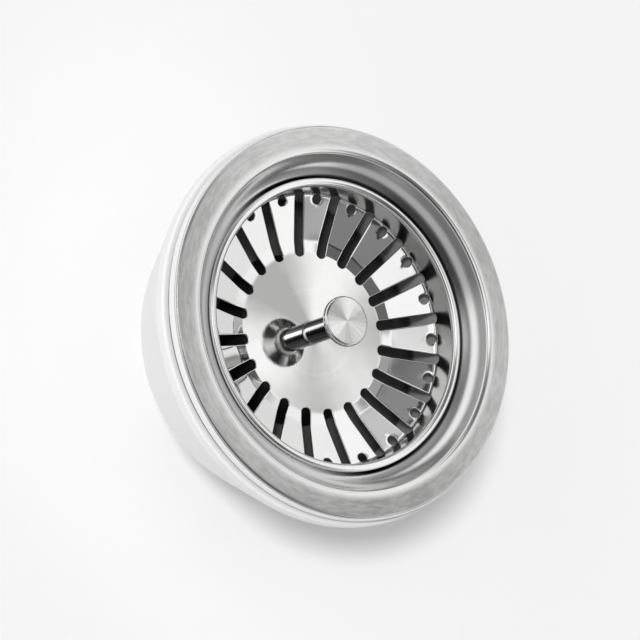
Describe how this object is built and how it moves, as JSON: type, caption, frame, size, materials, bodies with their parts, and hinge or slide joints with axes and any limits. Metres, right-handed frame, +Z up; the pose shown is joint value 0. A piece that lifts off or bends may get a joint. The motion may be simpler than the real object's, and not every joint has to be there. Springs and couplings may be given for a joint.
{
  "type": "sink_strainer",
  "caption": "Kitchen sink basket-strainer waste: pressed steel flange and bowl, white plastic body with outlet spigot, lift-out slotted basket with turned knob and rubber stopper",
  "frame": {"origin": "centre of the outlet's lower end, where the waste stands upright", "axes": "+Z up along the drain axis, from the outlet to the flange's face; +X through one slot of the basket and one rib of the spider"},
  "size_m": [0.1164, 0.1164, 0.0764],
  "materials": {
    "satin_steel": "satin flat, polished dish",
    "polished_steel": "mirror polished",
    "turned_steel": "turned",
    "spring_steel": "bright",
    "brass": "machined",
    "white_plastic": "satin",
    "dark_plastic": "matte",
    "black_rubber": "matte"
  },
  "bodies": {
    "waste": {"waste_body": "white_plastic", "insert_nut": "brass", "body_gasket": "black_rubber", "sink_flange": "satin_steel", "flange_gasket": "black_rubber", "bolt_washer": "black_rubber", "clamp_bolt": "turned_steel"},
    "stopper": {"stopper_hub": "dark_plastic", "stopper_seal": "black_rubber"},
    "basket": {"basket_shell": "polished_steel", "knob": "turned_steel", "guide_pin": "turned_steel", "lock_washer": "spring_steel", "retaining_clip": "spring_steel", "catch_ring": "spring_steel"}
  },
  "joints": [
    {"name": "basket_lift", "type": "slide", "parent": "waste", "child": "stopper", "axis": [0, 0, 1], "range_m": [0, 0.05]},
    {"name": "basket_turn", "type": "hinge", "parent": "stopper", "child": "basket", "pos_m": [0, 0, 0.0512], "axis": [0, 0, 1], "continuous": true}
  ]
}
